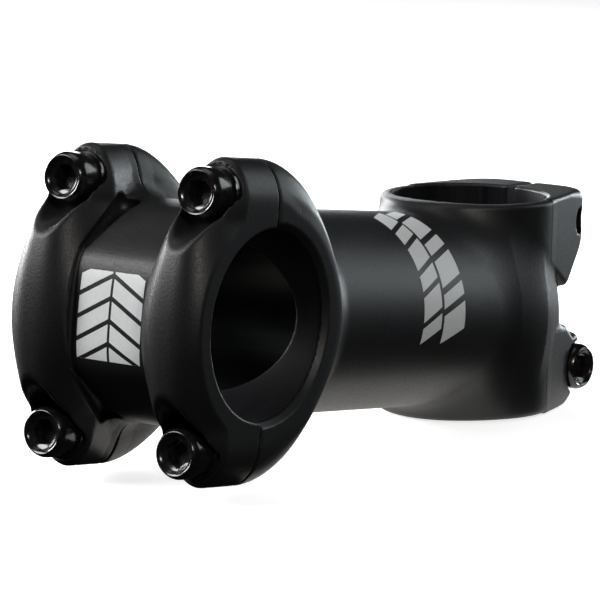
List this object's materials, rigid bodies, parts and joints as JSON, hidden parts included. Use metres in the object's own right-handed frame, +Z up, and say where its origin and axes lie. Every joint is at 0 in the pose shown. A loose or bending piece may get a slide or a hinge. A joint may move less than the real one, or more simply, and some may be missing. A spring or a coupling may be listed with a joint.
{
  "type": "handlebar stem",
  "caption": "Threadless handlebar stem: slotted steerer clamp with opposed pinch bolts, round hollow extension and a four-bolt H-shaped face plate.",
  "frame": {"origin": "where the stem axis crosses the steerer axis, inside the steerer clamp", "axes": "+Z up along the steerer, +X forward to the handlebar clamp, +Y to the rider's left"},
  "size_m": [0.1352, 0.039, 0.0558],
  "materials": {
    "stem_finish": "satin black anodised, fine grain",
    "face_plate_finish": "satin black anodised, fine grain",
    "screw_black": "gloss black oxide",
    "washer_steel": "black oxide"
  },
  "bodies": {
    "stem_body": {"stem_body": "stem_finish"},
    "face_plate": {"face_plate": "face_plate_finish"},
    "face_washer_upper_left": {"face_washer_upper_left": "washer_steel"},
    "face_bolt_upper_left": {"face_bolt_upper_left": "screw_black"},
    "face_washer_upper_right": {"face_washer_upper_right": "washer_steel"},
    "face_bolt_upper_right": {"face_bolt_upper_right": "screw_black"},
    "face_washer_lower_left": {"face_washer_lower_left": "washer_steel"},
    "face_bolt_lower_left": {"face_bolt_lower_left": "screw_black"},
    "face_washer_lower_right": {"face_washer_lower_right": "washer_steel"},
    "face_bolt_lower_right": {"face_bolt_lower_right": "screw_black"},
    "pinch_washer_upper": {"pinch_washer_upper": "washer_steel"},
    "pinch_bolt_upper": {"pinch_bolt_upper": "screw_black"},
    "pinch_washer_lower": {"pinch_washer_lower": "washer_steel"},
    "pinch_bolt_lower": {"pinch_bolt_lower": "screw_black"}
  },
  "joints": [
    {"name": "face_plate_off", "type": "slide", "parent": "stem_body", "child": "face_plate", "axis": [0.9945, 0, 0.1045], "range_m": [0, 0.03]},
    {"name": "face_bolt_upper_left_travel", "type": "slide", "parent": "face_plate", "child": "face_washer_upper_left", "axis": [0.9945, 0, 0.1045], "range_m": [0, 0.008]},
    {"name": "face_bolt_upper_left_turn", "type": "hinge", "parent": "face_washer_upper_left", "child": "face_bolt_upper_left", "pos_m": [0.09793, 0.0138, 0.03161], "axis": [0.9945, 0, 0.1045], "range_deg": [0, 3601]},
    {"name": "face_bolt_upper_right_travel", "type": "slide", "parent": "face_plate", "child": "face_washer_upper_right", "axis": [0.9945, 0, 0.1045], "range_m": [0, 0.008]},
    {"name": "face_bolt_upper_right_turn", "type": "hinge", "parent": "face_washer_upper_right", "child": "face_bolt_upper_right", "pos_m": [0.09793, -0.0138, 0.03161], "axis": [0.9945, 0, 0.1045], "range_deg": [0, 3601]},
    {"name": "face_bolt_lower_left_travel", "type": "slide", "parent": "face_plate", "child": "face_washer_lower_left", "axis": [0.9945, 0, 0.1045], "range_m": [0, 0.008]},
    {"name": "face_bolt_lower_left_turn", "type": "hinge", "parent": "face_washer_lower_left", "child": "face_bolt_lower_left", "pos_m": [0.10236, 0.0138, -0.01056], "axis": [0.9945, 0, 0.1045], "range_deg": [0, 3601]},
    {"name": "face_bolt_lower_right_travel", "type": "slide", "parent": "face_plate", "child": "face_washer_lower_right", "axis": [0.9945, 0, 0.1045], "range_m": [0, 0.008]},
    {"name": "face_bolt_lower_right_turn", "type": "hinge", "parent": "face_washer_lower_right", "child": "face_bolt_lower_right", "pos_m": [0.10236, -0.0138, -0.01056], "axis": [0.9945, 0, 0.1045], "range_deg": [0, 3601]},
    {"name": "pinch_bolt_upper_travel", "type": "slide", "parent": "stem_body", "child": "pinch_washer_upper", "axis": [0, -1, 0], "range_m": [0, 0.0064]},
    {"name": "pinch_bolt_upper_turn", "type": "hinge", "parent": "pinch_washer_upper", "child": "pinch_bolt_upper", "pos_m": [-0.0194, -0.0092, 0.0157], "axis": [0, -1, 0], "range_deg": [0, 2881]},
    {"name": "pinch_bolt_lower_travel", "type": "slide", "parent": "stem_body", "child": "pinch_washer_lower", "axis": [0, 1, 0], "range_m": [0, 0.0064]},
    {"name": "pinch_bolt_lower_turn", "type": "hinge", "parent": "pinch_washer_lower", "child": "pinch_bolt_lower", "pos_m": [-0.0194, 0.0092, -0.0119], "axis": [0, 1, 0], "range_deg": [0, 2881]}
  ],
  "couplings": [
    {"joint": "face_bolt_upper_left_turn", "follows": "face_bolt_upper_left_travel", "rad_per_m": 7854},
    {"joint": "face_bolt_upper_right_turn", "follows": "face_bolt_upper_right_travel", "rad_per_m": 7854},
    {"joint": "face_bolt_lower_left_turn", "follows": "face_bolt_lower_left_travel", "rad_per_m": 7854},
    {"joint": "face_bolt_lower_right_turn", "follows": "face_bolt_lower_right_travel", "rad_per_m": 7854},
    {"joint": "pinch_bolt_upper_turn", "follows": "pinch_bolt_upper_travel", "rad_per_m": 7854},
    {"joint": "pinch_bolt_lower_turn", "follows": "pinch_bolt_lower_travel", "rad_per_m": 7854}
  ]
}
